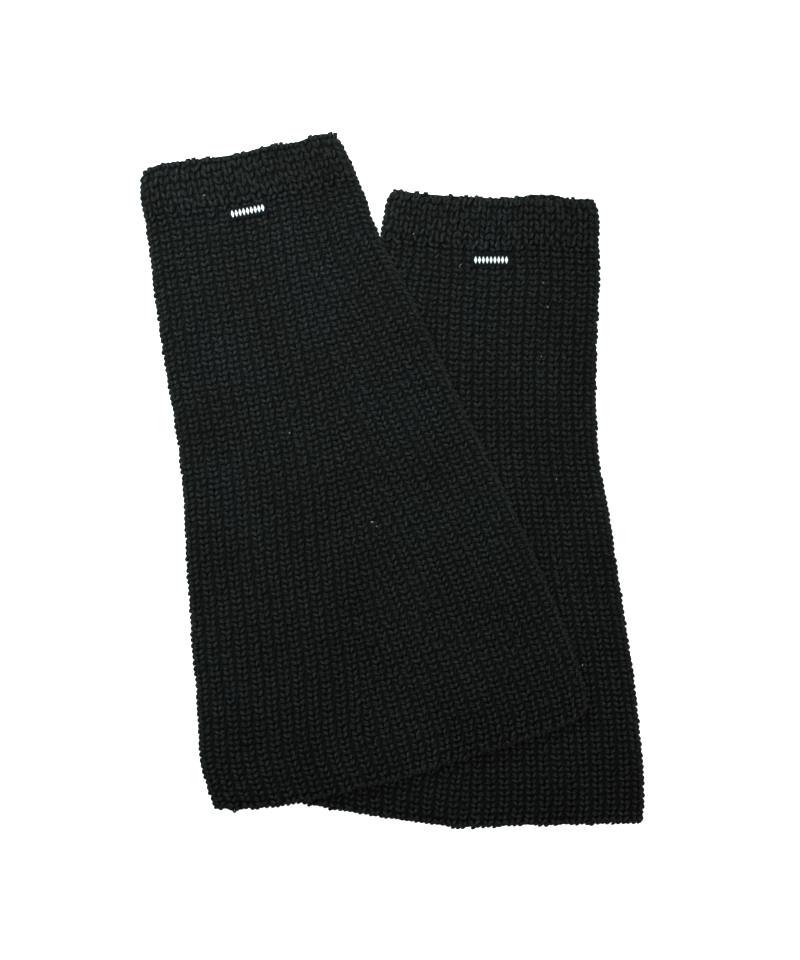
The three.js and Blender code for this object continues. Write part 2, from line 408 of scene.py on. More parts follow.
class StageSettings(bpy.types.PropertyGroup):
    """Camera, floor and light"""

    camera_height: bpy.props.FloatProperty(
        name="Camera height",
        description="Height of the camera over the floor",
        default=1.4945,
        min=0.5,
        max=4,
        unit="LENGTH",
    )
    lens: bpy.props.FloatProperty(
        name="Lens",
        description="Focal length on a 36 mm sensor",
        default=85,
        min=20,
        max=200,
        unit="CAMERA",
    )
    floor: colour_property("Floor colour", "Colour of the pale floor", "#f2f2f2")
    key: bpy.props.FloatProperty(
        name="Main light",
        description="Power of the gridded soft light over the upper left. The other lights follow it",
        default=2.24,
        min=0,
        max=1000,
        unit="POWER",
    )


def add(tree, kind, sockets=None, **settings):
    """Adds a node: settings are its own properties, sockets hold values or the outputs to link in."""
    node = tree.nodes.new(kind)
    for key, value in settings.items():
        setattr(node, key, value)
    for key, value in (sockets or {}).items():
        if isinstance(value, bpy.types.NodeSocket):
            tree.links.new(value, node.inputs[key])
        else:
            node.inputs[key].default_value = value
    return node


def maths(tree, operation, *values):
    """The result of a sum on one or two numbers."""
    return add(tree, "ShaderNodeMath", dict(enumerate(values)), operation=operation).outputs[0]


def remap(tree, value, lowest, highest, to_lowest=0.0, to_highest=1.0, **settings):
    """A number moved from one range into another, and held within it."""
    sockets = {
        "Value": value,
        "From Min": lowest,
        "From Max": highest,
        "To Min": to_lowest,
        "To Max": to_highest,
    }
    return add(tree, "ShaderNodeMapRange", sockets, **settings).outputs[0]


def noise(tree, size, detail, roughness=0.5, distortion=0.0):
    """Noise whose patches are about this size, fixed to the piece."""
    place = add(tree, "ShaderNodeTexCoord")
    sockets = {
        "Vector": place.outputs["Object"],
        "Scale": 1 / size,
        "Detail": detail,
        "Roughness": roughness,
        "Distortion": distortion,
    }
    return add(tree, "ShaderNodeTexNoise", sockets).outputs["Fac"]


def blend(tree, value, first, second):
    """A colour that goes from the first to the second. Each is a position and a linear colour."""
    node = add(tree, "ShaderNodeValToRGB", {"Fac": value})
    for element, (position, colour) in zip(node.color_ramp.elements, (first, second)):
        element.position = position
        element.color = (*colour, 1.0)
    return node.outputs["Color"]


def scaled(tree, colour, level):
    """A colour made lighter or darker by a number."""
    return add(tree, "ShaderNodeVectorMath", {0: colour, "Scale": level}, operation="SCALE").outputs[0]


def map_parts(tree, name):
    """The two parts of one of a piece's maps."""
    source = add(tree, "ShaderNodeUVMap", uv_map=name)
    parts = add(tree, "ShaderNodeSeparateXYZ", {0: source.outputs["UV"]})
    return parts.outputs["X"], parts.outputs["Y"]


def start_material(name):
    """Makes a material, and gives its node tree, emptied."""
    material = bpy.data.materials.new(name)
    material.use_nodes = True
    tree = material.node_tree
    tree.nodes.clear()
    return tree


def surface(tree, sockets):
    """The shader of a material, and its output."""
    shader = add(tree, "ShaderNodeBsdfPrincipled", sockets)
    add(tree, "ShaderNodeOutputMaterial", {"Surface": shader.outputs["BSDF"]})


def spun_wool_acrylic(knit, name, is_shaded_ground=False):
    """Chunky spun yarn of wool and acrylic, dyed black and knitted.

    To the eye it is matt and slightly fuzzy: three soft plies twist round each other, stray fibres catch a
    little light at the edges, and the shadows between the stitches are nearly black. These shadows, the shade
    in the ply crevices and the light on the stitch crowns are painted into the colour, and the ground's copy
    is painted darker as shade.
    """
    ply_turns = 3.0
    fibre_width = 0.35 * MM
    patch_size = 45 * MM
    mottle_size = 1.6 * MM
    bump_depth = 0.22 * MM
    cold = (0.93, 1.0, 1.02)
    warm = (1.0, 0.98, 0.95)
    tree = start_material(name)
    round_yarn, along_yarn = map_parts(tree, "Yarn")
    # Plies: a wave that climbs round the yarn once for each ply
    turns = maths(tree, "MULTIPLY", round_yarn, ply_turns)
    climb = maths(tree, "MULTIPLY", along_yarn, 1 / PLY_LENGTH)
    phase = maths(tree, "ADD", turns, climb)
    wave = maths(tree, "COSINE", maths(tree, "MULTIPLY", phase, 2 * math.pi))
    ply = remap(tree, wave, -1.0, 0.4, interpolation_type="SMOOTHSTEP")
    # Fibres: fine streaks, drawn at a third of a millimetre because real ones are too fine to show
    fibre = noise(tree, fibre_width, 3.0, 0.65, 0.8)
    patches = noise(tree, patch_size, 2.0)
    mottle = noise(tree, mottle_size, 1.0)
    relief = maths(tree, "MULTIPLY", ply, fibre)
    # Painted shade: the ground's copy of the yarn is painted at about half the lightness, as shade behind the
    # ribs
    dark = [c * (0.45 if is_shaded_ground else 0.8) for c in knit.shade]
    light = [c * (0.5 if is_shaded_ground else 1.0) for c in knit.colour]
    # Painted shade in the ply crevices: colour runs from the shaded fibre colour low in the relief to the lit
    # one on the plies
    fibre_colour = blend(tree, remap(tree, relief, 0.05, 0.62), (0.0, dark), (1.0, light))
    patch_level = remap(tree, patches, 0.3, 0.7, 0.86, 1.12)
    mottle_level = remap(tree, mottle, 0.3, 0.7, 0.74, 1.26)
    level = maths(tree, "MULTIPLY", patch_level, mottle_level)
    if not is_shaded_ground:
        # Painted light and shade: the colour is darkened down to 0.3 deep between the stitches and lightened
        # up to 1.74 on the crowns
        painted_lighting = map_parts(tree, "Openness")[0]
        level = maths(tree, "MULTIPLY", level, remap(tree, painted_lighting, 0.0, 0.85, 0.3, 1.74))
    # Worn patches: the dye goes from a warmer black to a cold blue-green one over the width of a hand
    tint = blend(tree, patches, (0.35, warm), (0.65, cold))
    tinted = add(tree, "ShaderNodeVectorMath", {0: fibre_colour, 1: tint}, operation="MULTIPLY").outputs[0]
    bump = add(tree, "ShaderNodeBump", {"Height": relief, "Strength": 0.7, "Distance": bump_depth})
    surface(
        tree,
        {
            "Base Color": scaled(tree, tinted, level),
            "Roughness": 0.93,
            "IOR": 1.53,
            "Specular IOR Level": 0.03,
            "Normal": bump.outputs["Normal"],
        },
    )


def woven_polyester(label):
    """Polyester label tape, woven in black satin with white figure threads.

    To the eye it is smoother and a little glossier than the yarn, with a fine cross-ribbed weave, and the
    figure is made of short white floats with slightly stepped edges.
    """
    lozenges = 9
    band_share = 0.86
    thread = 0.3
    half_height = 2.6
    slimness = 2.3
    tree = start_material("woven_polyester_label")
    length = label.length / MM
    step = length * band_share / lozenges
    along, aside = map_parts(tree, "Yarn")
    # Figure: a row of lozenges, in millimetres from the label's middle
    shifted = maths(tree, "ADD", maths(tree, "DIVIDE", along, step), 0.5)
    off_middle = maths(tree, "SUBTRACT", maths(tree, "FRACT", shifted), 0.5)
    off_share = maths(tree, "MULTIPLY", maths(tree, "ABSOLUTE", off_middle), slimness)
    high_share = maths(tree, "DIVIDE", maths(tree, "ABSOLUTE", aside), half_height)
    inside = remap(tree, maths(tree, "ADD", off_share, high_share), 1.0, 0.88)
    within = maths(tree, "LESS_THAN", maths(tree, "ABSOLUTE", along), length * band_share / 2)
    figure = maths(tree, "MULTIPLY", inside, within)
    # Weave: cross threads every 0.3 mm, drawn three times as coarse as real label thread so that it shows
    warp = maths(tree, "SINE", maths(tree, "MULTIPLY", along, 2 * math.pi / thread))
    weft = maths(tree, "SINE", maths(tree, "MULTIPLY", aside, 2 * math.pi / thread))
    weave = maths(tree, "MULTIPLY", warp, weft)
    threads = blend(tree, figure, (0.0, label.ground), (1.0, label.figure))
    bump = add(tree, "ShaderNodeBump", {"Height": weave, "Strength": 0.5, "Distance": 0.05 * MM})
    # Painted shade in the weave: the colour is darkened to 0.72 where the cross threads' relief is low
    surface(
        tree,
        {
            "Base Color": scaled(tree, threads, remap(tree, weave, -1.0, 1.0, 0.72, 1.0)),
            "Roughness": 0.8,
            "IOR": 1.57,
            "Specular IOR Level": 0.05,
            "Normal": bump.outputs["Normal"],
        },
    )


def matt_fibre(name, code, variation):
    """Loose cotton or wool fibre: matt, and uneven in tone along its length."""
    tree = start_material(name)
    colour = linear(code)
    darker = [c * (1 - variation) for c in colour]
    tone = blend(tree, noise(tree, 2 * MM, 2.0), (0.3, darker), (0.7, colour))
    surface(tree, {"Base Color": tone, "Roughness": 0.9, "Specular IOR Level": 0.05})


def opal_acrylic(stage):
    """Opal acrylic sheet of a light table, lit evenly from below, so that nothing throws a shadow on it."""
    tree = start_material("opal_acrylic_sheet")
    surface(
        tree,
        {
            "Base Color": (*stage.floor, 1.0),
            "Roughness": 0.7,
            "Specular IOR Level": 0.2,
            "Emission Color": (1.0, 1.0, 1.0, 1.0),
            "Emission Strength": 0.85,
        },
    )


def material_for(name):
    """The material of this name, or an error that says which step has to run first."""
    found = bpy.data.materials.get(name)
    if found is None:
        raise RuntimeError(f"the material {name} is missing, so the finishes step hasn't run")
    return found


def make_piece(name, points, corners, sizes, maps, material):
    """A smooth mesh on the root body, from its points in millimetres, its faces and its maps."""
    mesh = bpy.data.meshes.new(name)
    mesh.vertices.add(len(points))
    mesh.vertices.foreach_set("co", (points * MM).ravel())
    mesh.loops.add(len(corners))
    mesh.loops.foreach_set("vertex_index", corners)
    mesh.polygons.add(len(sizes))
    mesh.polygons.foreach_set("loop_start", np.concatenate([[0], np.cumsum(sizes)[:-1]]))
    mesh.polygons.foreach_set("use_smooth", np.ones(len(sizes), bool))
    mesh.update(calc_edges=True)
    for map_name, values in maps.items():
        layer = mesh.uv_layers.new(name=map_name)
        layer.data.foreach_set("uv", values.ravel())
    if mesh.validate():
        raise RuntimeError(f"{name}: its mesh has faults")
    piece = bpy.data.objects.new(name, mesh)
    bpy.context.scene.collection.objects.link(piece)
    mesh.materials.append(material)
    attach(piece, "root")
    return piece


def unit(vectors):
    return vectors / np.maximum(np.linalg.norm(vectors, axis=-1, keepdims=True), SMALL)


def quarter_circle(share):
    """Rises from 0 to 1 as a share does, steeply at first."""
    return np.sqrt(1 - (1 - share) ** 2)


def chance(rng, count, kinds):
    """Columns of random numbers for as many things, most of them within 1 of 0 and none past 2."""
    return np.clip(rng.normal(size=(count, kinds)), -2, 2)


# Painted shade: how far below the crowns the yarn's colour is painted fully dark, in millimetres. A leg's own
# sinking into its rib's groove counts more than the round of the yarn, so the grooves get the deepest painted
# shade, and the underside of the yarn is painted darker than its top.
SHADE_DEPTH = 3.7
SINK_SHADE = 1.55
ROUND_SHADE = 0.7

# Maps of a yarn: the free edge of its cell, and how far each tube's plies start after the last one's
CELL_EDGE = 0.06
PLY_SHIFT = 2.37


def tube_faces(sides, rings):
    """Faces of one closed tube: its corners, how far round and along it they are, and the faces' sizes."""
    corners = []
    sizes = []
    round_share = []
    station = []
    tip = 1 + rings * sides
    last = tip - sides
    for i in range(sides):
        after = (i + 1) % sides
        here = i / sides
        there = (i + 1) / sides
        corners += [0, 1 + after, 1 + i]
        round_share += [(i + 0.5) / sides, there, here]
        station += [0, 1, 1]
        sizes.append(3)
        for j in range(rings - 1):
            first = 1 + j * sides
            second = first + sides
            corners += [first + i, first + after, second + after, second + i]
            round_share += [here, there, there, here]
            station += [j + 1, j + 1, j + 2, j + 2]
            sizes.append(4)
        corners += [tip, last + i, last + after]
        round_share += [(i + 0.5) / sides, here, there]
        station += [rings + 1, rings, rings]
        sizes.append(3)
    return np.array(corners), np.array(round_share), np.array(station), sizes


def yarns(name, centre, outward, radius, sides, material, floor=None, depth=0.0):
    """Many short closed tubes of yarn as one mesh.

    centre is (tubes, stations, 3) in millimetres, outward the direction away from the cloth there, and radius
    and depth below the crowns (tubes, stations). Depth also sets the painted shade in the colour. The first
    and last stations are the tubes' tips.
    """
    count, stations = centre.shape[:2]
    rings = stations - 2
    tangent = unit(np.gradient(centre, axis=1))
    side = unit(np.cross(tangent, outward))
    up = np.cross(side, tangent)
    angle = np.arange(sides) * 2 * math.pi / sides
    ring = np.cos(angle)[:, None] * up[:, 1:-1, None] + np.sin(angle)[:, None] * side[:, 1:-1, None]
    ring = centre[:, 1:-1, None] + radius[:, 1:-1, None, None] * ring
    points = np.concatenate([centre[:, :1], ring.reshape(count, rings * sides, 3), centre[:, -1:]], axis=1)
    if floor is not None:
        points[..., 2] = np.maximum(points[..., 2], floor)
    # Painted lighting of each point: 1 on the crowns, painted lit, and 0 deep between them, painted in shade
    sunk = SINK_SHADE * np.broadcast_to(depth, radius.shape) + ROUND_SHADE * radius.max()
    ring_sunk = sunk[:, 1:-1, None] - ROUND_SHADE * radius[:, 1:-1, None] * np.cos(angle)
    sunk = np.concatenate([sunk[:, :1], ring_sunk.reshape(count, rings * sides), sunk[:, -1:]], axis=1)
    painted_lighting = np.clip(1 - sunk / SHADE_DEPTH, 0, 1)
    corners, round_share, station, sizes = tube_faces(sides, rings)
    all_corners = (np.arange(count)[:, None] * points.shape[1] + corners).ravel()
    # Maps: one cell of a square sheet for each tube, and turns round the yarn with millimetres along it
    cells = math.ceil(math.sqrt(count))
    column = np.arange(count)[:, None] % cells
    row = np.arange(count)[:, None] // cells
    u = (column + CELL_EDGE + (1 - 2 * CELL_EDGE) * round_share) / cells
    v = (row + CELL_EDGE + (1 - 2 * CELL_EDGE) * station / (stations - 1)) / cells
    steps = np.linalg.norm(np.diff(centre, axis=1), axis=-1)
    travelled = np.concatenate([np.zeros((count, 1)), np.cumsum(steps, axis=1)], axis=1)
    along = travelled[:, station] + np.arange(count)[:, None] * PLY_SHIFT % PLY_LENGTH
    painted_lighting = painted_lighting[:, corners]
    maps = {
        "OFBake": np.stack([u, v], axis=-1),
        "Yarn": np.stack([np.broadcast_to(round_share, along.shape), along], axis=-1),
        # The third map carries the painted lighting that the yarn's colour is scaled by
        "Openness": np.stack([painted_lighting, np.zeros_like(painted_lighting)], axis=-1),
    }
    return make_piece(name, points.reshape(-1, 3), all_corners, np.tile(sizes, count), maps, material)


def shell(name, upper, lower, pattern, material):
    """A closed thin sheet between two grids of points in millimetres, from its first row to its last."""
    rows, columns = upper.shape[:2]
    points = np.concatenate([upper.reshape(-1, 3), lower.reshape(-1, 3)])
    index = np.arange(rows * columns).reshape(rows, columns)
    quads = np.stack([index[:-1, :-1], index[1:, :-1], index[1:, 1:], index[:-1, 1:]], axis=-1).reshape(-1, 4)
    under = quads[:, ::-1]
    rim = np.concatenate([index[:, 0], index[-1, 1:], index[-2::-1, -1], index[0, -2:0:-1]])
    after = np.roll(rim, -1)
    offset = rows * columns
    walls = np.stack([rim, after, after + offset, rim + offset], axis=-1)[:, ::-1]
    corners = np.concatenate([quads.ravel(), (under + offset).ravel(), walls.ravel()])
    # Map of the whole: the upper face on the left, the lower face on the right, and the rim as a strip above
    share_u = np.tile(np.linspace(0, 1, columns), (rows, 1)).ravel()
    share_v = np.repeat(np.linspace(0, 1, rows), columns)
    top_map = np.stack([0.01 + 0.47 * share_u, 0.01 + 0.88 * share_v], axis=-1)
    under_map = np.stack([0.52 + 0.47 * share_u, 0.01 + 0.88 * share_v], axis=-1)
    rim_share = np.arange(len(rim) + 1) / len(rim) * 0.98 + 0.01
    strip_u = np.stack([rim_share[:-1], rim_share[1:], rim_share[1:], rim_share[:-1]], axis=1)
    strip_v = np.broadcast_to([0.92, 0.92, 0.98, 0.98], strip_u.shape)
    wall_map = np.stack([strip_u, strip_v], axis=-1)[:, ::-1]
    bake = [top_map[quads], under_map[under], wall_map]
    # Map of the pattern: the same point above and below
    flat_pattern = pattern.reshape(-1, 2)
    wall_corners = np.stack([rim, after, after, rim], axis=-1)[:, ::-1]
    knit = [flat_pattern[quads], flat_pattern[under], flat_pattern[wall_corners]]
    maps = {"OFBake": np.concatenate(bake), "Yarn": np.concatenate(knit)}
    sizes = np.full(len(corners) // 4, 4)
    return make_piece(name, points, corners, sizes, maps, material)


# Ground cloth behind the stitches: its faces, and how far it stays inside the folds and ends, in millimetres
GROUND_DEPTH = 3.0
GROUND_UNDER = 1.0
GROUND_INSET = 1.5
GROUND_COLUMNS = 44
GROUND_ROW = 9.0
GROUND_SEAM = 0.05
GROUND_HEM = 1.4
PATTERN_WIDTH = 8.0
BAND_GROUND_ROWS = (1.3, 1.8, 3.0, 9.0, 16.0, 23.0, BAND_DEPTH)


def across_grid(warmer, downs, inset):
    """Places across each row, closer together at the side folds."""
    left = warmer.left(downs)[:, None] + inset
    right = warmer.right(downs)[:, None] - inset
    near = np.array(FOLD_STEPS) * FOLD_REACH
    even = np.arange(1, GROUND_COLUMNS) / GROUND_COLUMNS
    middle = left + FOLD_REACH + (right - left - 2 * FOLD_REACH) * even
    return np.concatenate([left + near, middle, right - near[::-1]], axis=1)


def fold_share(warmer, downs, across, inset):
    """0 at a side fold and 1 well inside it, as a quarter circle."""
    left = warmer.left(downs) + inset
    right = warmer.right(downs) - inset
    return quarter_circle(np.clip(np.minimum(across - left, right - across) / FOLD_REACH, 0, 1))


def turn_sink(down):
    """How far the front band's face has dropped towards its turned edge."""
    return BAND_TURN * (1 - quarter_circle(np.clip(down / BAND_TURN, 0, 1)))


def ground_sheet(warmer, part, material):
    """The plain ground of one cloth piece, which closes the cloth behind its ribs."""
    is_band = part.endswith("band")
    if is_band:
        downs = np.array(BAND_GROUND_ROWS)
        if part == "back_band":
            downs[0] = -BACK_BAND_PEEK + 1.0
    else:
        count = round((warmer.length - BAND_DEPTH) / GROUND_ROW)
        downs = np.linspace(BAND_DEPTH + GROUND_SEAM, warmer.length - GROUND_HEM, count)
    across = across_grid(warmer, downs, GROUND_INSET)
    downs = np.broadcast_to(downs[:, None], across.shape)
    if part == "back_band":
        downs = downs - 0.7 * warmer.peek(across) * (downs <= downs[0])
    share = fold_share(warmer, downs, across, GROUND_INSET)
    if part.startswith("front"):
        crown = BAND_CROWN if is_band else PANEL_CROWN
        top = crown - GROUND_DEPTH - (0.8 * turn_sink(downs) if is_band else 0)
        upper = FRONT_FOLD_HEIGHT + (top - FRONT_FOLD_HEIGHT) * share
        lower = np.full(across.shape, FRONT_INSIDE)
    else:
        upper = np.full(across.shape, BACK_TOP)
        lower = GROUND_UNDER + (BACK_FOLD_HEIGHT - GROUND_UNDER) * (1 - share)
    return shell(
        f"{warmer.name}_{part}_ground",
        warmer.lay(downs, across, upper),
        warmer.lay(downs, across, lower),
        np.stack([across / PATTERN_WIDTH, downs], axis=-1),
        material,
    )


# A leg of a stitch: shares along it, and how thick it is there
LEG_STATIONS = np.array([0.0, 0.12, 0.38, 0.66, 0.9, 1.0])
LEG_THICKNESS = np.array([0.0, 0.7, 1.0, 0.94, 0.5, 0.0])
CHAIN_THICKNESS = np.array([0.0, 0.72, 1.0, 0.96, 0.66, 0.0])
BACK_STATIONS = np.array([0.0, 0.17, 0.5, 0.85, 1.0])
BACK_THICKNESS = np.array([0.0, 0.8, 1.0, 0.72, 0.0])

# How a leg lies within its rib: its two ends' places in rib widths, and how deep they dip, in millimetres
LEG_INNER = 0.045
LEG_OUTER = 0.362
BAND_LEG_INNER = 0.095
BAND_LEG_OUTER = 0.385
LEG_PEAK = 0.4
INNER_DIP = 0.8
OUTER_DIP = 3.0
BAND_OUTER_DIP = 1.3

# How tall the right band's stitches are beside the left's
RIGHT_BAND_SHARE = 0.91

# How uneven the stitches are, and how far their ribs wander, in millimetres
YARN_SPREAD = 0.07
HEIGHT_SPREAD = 0.24
PLACE_SPREAD = 0.3
RISE_SPREAD = 0.1
LEAN_SPREAD = 0.13
BAND_LOOSENESS = 1.35
MEANDER = 0.55

# How far in the yarn of the faces stays from the fold's own column, and how broadly the faces round over
FOLD_STRIP = 0.9
SHOULDER = 9.0
SHOULDER_POWER = 1.6
SEAM_SLOPE = 9.0


class Knitting:
    """How one face is knitted: which face it is, how its legs rise and lie, and how thick its yarn looks."""

    def __init__(self, front, in_band, rise):
        self.front = front
        self.in_band = in_band
        self.rise = rise
        self.stations = LEG_STATIONS if front else BACK_STATIONS
        self.thickness = LEG_THICKNESS if front else BACK_THICKNESS
        self.yarn_share = 1.0 if front else 0.86
        self.sides = 6 if front else 5
        self.looseness = BAND_LOOSENESS if in_band else 1.0
        self.outer_dip = BAND_OUTER_DIP if in_band else OUTER_DIP
        self.leg_inner = BAND_LEG_INNER if in_band else LEG_INNER
        self.leg_outer = BAND_LEG_OUTER if in_band else LEG_OUTER


def rib_rows(warmer, downs, in_band):
    """Every stitch of the given rows: row, side counted from, middle and width in ribs, and family."""
    lines = []
    for down in downs:
        width = float(warmer.right(down) - warmer.left(down))
        steady_width = warmer.steady_ribs * float(warmer.pitch(down, True, in_band))
        for k in range(warmer.steady_ribs):
            lines.append((down, warmer.steady_from_left, k + 0.5, 1.0, 1))
        widths = growing_ribs((width - steady_width) / float(warmer.pitch(down, False, in_band)))
        starts = np.concatenate([[0], np.cumsum(widths)[:-1]])
        for start, rib in zip(starts, widths):
            lines.append((down, not warmer.steady_from_left, start + rib / 2, rib, 0))
    return np.array(lines, float)


def growing_ribs(count):
    """Widths of the growing family's ribs, from its fold on, where a new one comes in at the fan line."""
    whole = math.floor(count + ROUNDING)
    rest = max(count - whole, 0.0)
    newest = 0.0
    if rest > NEW_RIB_FROM:
        newest = NEW_RIB_WIDTH + (1 - NEW_RIB_WIDTH) * (rest - NEW_RIB_FROM) / (1 - NEW_RIB_FROM)
    near = min(FAN_RIBS, whole)
    widths = np.ones(whole)
    widths[whole - near :] = (near + rest - newest) / near
    return np.append(widths, newest) if newest else widths


def rib_place(warmer, down, from_left, ribs, steady, in_band):
    """Place across of a point that is this many ribs in from the fold that it is counted from."""
    pitch = warmer.pitch(down, steady > 0.5, in_band)
    return np.where(from_left > 0.5, warmer.left(down) + ribs * pitch, warmer.right(down) - ribs * pitch)


def meander(warmer, down, across):
    """Small wander of the ribs, as hand-laid knit has. It dies out at the folds."""
    wave = np.sin(down / 37.0 + across / 61.0 + warmer.x) + 0.6 * np.sin(down / 17.0 - across / 23.0)
    near = np.minimum(across - warmer.left(down), warmer.right(down) - across)
    return MEANDER * wave * smoothstep(near / 20.0)


def on_face(warmer, down, across, depth, inset, front, crown):
    """Centre and outward direction of yarn that lies on a face, depth below the face's own yarn line."""
    left = warmer.left(down) + inset + FOLD_STRIP
    right = warmer.right(down) - inset - FOLD_STRIP
    across = np.clip(across, left, right)
    from_left = across - left < right - across
    near = np.clip((np.minimum(across - left, right - across) + FOLD_STRIP) / SHOULDER, 0, 1)
    rounding = (1 - (1 - near) ** SHOULDER_POWER) ** (1 / SHOULDER_POWER)
    edge = FRONT_FOLD_HEIGHT - 0.1 if front else BACK_FOLD_HEIGHT + 0.1
    yarn_line = crown - inset if front else inset
    facing = 1.0 if front else -1.0
    lean = np.where(from_left, -1.0, 1.0) * (1 - near) ** 0.7
    height = edge + (yarn_line - edge) * rounding - facing * depth * rounding
    across = across - lean * depth
    outward = lean[..., None] * warmer.across_axis + (facing * rounding)[..., None] * UP
    return across, height, unit(outward)


def face_crown(down, in_band):
    """Height of the rib crowns. The panel's ribs come down from the band's over their first rows."""
    if in_band:
        return np.full_like(down, BAND_CROWN)
    step = BAND_CROWN - PANEL_CROWN
    return PANEL_CROWN + step * (1 - smoothstep((down - BAND_DEPTH) / SEAM_SLOPE))


def yarn_radius(knit):
    """Half the yarn's thickness, in millimetres."""
    return knit.yarn / MM / 2


def stitch_legs(warmer, lines, knit, kind, rng):
    """Rows, places, depths and radii along the two legs of every stitch."""
    u = kind.stations[None, :]
    lines = np.repeat(lines, 2, axis=0)
    hand = np.tile([-1.0, 1.0], len(lines) // 2)[:, None]
    start, from_left, middle, width, steady = (column[:, None] for column in lines.T)
    jitter = chance(rng, len(lines), 6) * kind.looseness
    swell = yarn_radius(knit) * kind.yarn_share * (0.55 + 0.45 * width) * (1 + YARN_SPREAD * jitter[:, :1])
    rise = kind.rise * np.sqrt(width) * (1 + RISE_SPREAD * jitter[:, 4:5])
    down = start - rise * u + PLACE_SPREAD * jitter[:, 1:2]
    lean = 1 + LEAN_SPREAD * jitter[:, 5:6]
    offset = (kind.leg_inner + (kind.leg_outer - kind.leg_inner) * lean * u**0.92) * width
    sign = np.where(from_left > 0.5, 1.0, -1.0)
    across = rib_place(warmer, down, from_left, middle + hand * sign * offset, steady, kind.in_band)
    across = across + meander(warmer, down, across) + PLACE_SPREAD * 0.6 * jitter[:, 2:3]
    inner = np.clip(1 - u / LEG_PEAK, 0, 1) ** 2
    outer = np.clip((u - LEG_PEAK) / (1 - LEG_PEAK), 0, 1) ** 2
    depth = INNER_DIP * inner + kind.outer_dip * outer + HEIGHT_SPREAD * jitter[:, 3:4]
    if kind.front:
        # Near the hem the front's stitches sink, which lowers them and deepens their painted shade
        depth = depth + HEM_DROP * smoothstep(1 - (warmer.length - down) / HEM_DROP_REACH)
    return down, across, depth, swell * kind.thickness[None, :]


def is_seen(warmer, down, across):
    """Whether stitches are outside the other warmer, or not too deep inside its outline."""
    other = RIGHT if warmer is LEFT else LEFT
    x, y = warmer.plan(warmer.bowed(down, across), across)
    return distance_inside(x, y, outline(other)) < HIDDEN_DEPTH


# Hem: depth of its edge row, how far the front's edge row stays behind the back's, one chain stitch, the
# depth that sets the chain's painted shade, and how far and over what length the front's stitches sink at the
# hem, which also deepens their painted shade
HEM_ROW = 2.2
FRONT_HEM_SHORT = 0.8
CHAIN_STEP = 3.4
CHAIN_OVERLAP = 1.05
CHAIN_SHADE = 0.8
HEM_DROP = 0.9
HEM_DROP_REACH = 5.0


def panel_courses(warmer, course):
    """Rows of the panel's stitches, by the lower ends of their legs."""
    last = warmer.length - HEM_ROW - 0.8
    count = round((last - BAND_DEPTH - course + 0.9) / course)
    return np.linspace(BAND_DEPTH + course - 0.9, last, count + 1)


def stitch_piece(warmer, name, lines, knit, kind, material, rng):
    """One mesh of stitches on a face of a warmer."""
    down, across, depth, radius = stitch_legs(warmer, lines, knit, kind, rng)
    if kind.front != warmer.climbs:
        middle = len(kind.stations) // 2
        seen = is_seen(warmer, down[:, middle], across[:, middle])
        down, across, depth, radius = down[seen], across[seen], depth[seen], radius[seen]
    inset = yarn_radius(knit) * kind.yarn_share
    crown = face_crown(down, kind.in_band)
    across, height, outward = on_face(warmer, down, across, depth, inset, kind.front, crown)
    centre = warmer.lay(down, across, height)
    floor = None if kind.front else 0.0
    return yarns(name, centre, outward, radius, kind.sides, material, floor=floor, depth=depth)


class LEGWARMERS_OT_finishes(bpy.types.Operator):
    """Make the finishes of yarn, label, fibre and floor"""

    bl_idname = "leg_warmers.finishes"
    bl_label = "Finishes"

    def execute(self, context):
        scene = context.scene
        spun_wool_acrylic(scene.leg_warmers_knit, "spun_wool_acrylic_yarn")
        spun_wool_acrylic(scene.leg_warmers_knit, "spun_wool_acrylic_ground", is_shaded_ground=True)
        woven_polyester(scene.leg_warmers_label)
        matt_fibre("stray_black_fibre", "#232625", 0.4)
        matt_fibre("cotton_lint", "#b9bdba", 0.3)
        opal_acrylic(scene.leg_warmers_stage)
        return {"FINISHED"}


class LEGWARMERS_OT_ground(bpy.types.Operator):
    """Lay the plain ground of the front and back panels and of the two halves of each band"""

    bl_idname = "leg_warmers.ground"
    bl_label = "Ground cloth"

    def execute(self, context):
        material = material_for("spun_wool_acrylic_ground")
        for warmer in WARMERS:
            for part in ("front_panel", "back_panel", "front_band", "back_band"):
                piece = ground_sheet(warmer, part, material)
                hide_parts(f"{warmer.name}_{part}")
        return {"FINISHED"}


class LEGWARMERS_OT_panel_stitches(bpy.types.Operator):
    """Knit the ribs of the front and back panels"""

    bl_idname = "leg_warmers.panel_stitches"
    bl_label = "Panel stitches"

    def execute(self, context):
        knit = context.scene.leg_warmers_knit
        material = material_for("spun_wool_acrylic_yarn")
        rng = np.random.default_rng(SEED)
        front = Knitting(True, False, knit.rise / MM)
        back = Knitting(False, False, knit.rise / MM)
        for warmer in WARMERS:
            lines = rib_rows(warmer, panel_courses(warmer, knit.course / MM), False)
            steady = lines[:, 4] > 0.5
            for family, chosen in (("steady", steady), ("growing", ~steady)):
                name = f"{warmer.name}_front_panel_{family}_ribs"
                stitch_piece(warmer, name, lines[chosen], knit, front, material, rng)
            stitch_piece(warmer, f"{warmer.name}_back_panel_ribs", lines, knit, back, material, rng)
        return {"FINISHED"}


# Stitches over a band's top edge: the row they are placed by, shares of thickness along them, and how far
# they swing, stray sideways and stand out unevenly, in millimetres
EDGE_ROW = 1.0
EDGE_THICKNESS = np.array([0.0, 0.8, 1.0, 1.0, 1.0, 0.8, 0.0])
EDGE_SWING = 0.35
EDGE_STRAY = 0.35
EDGE_UNEVEN = 0.9


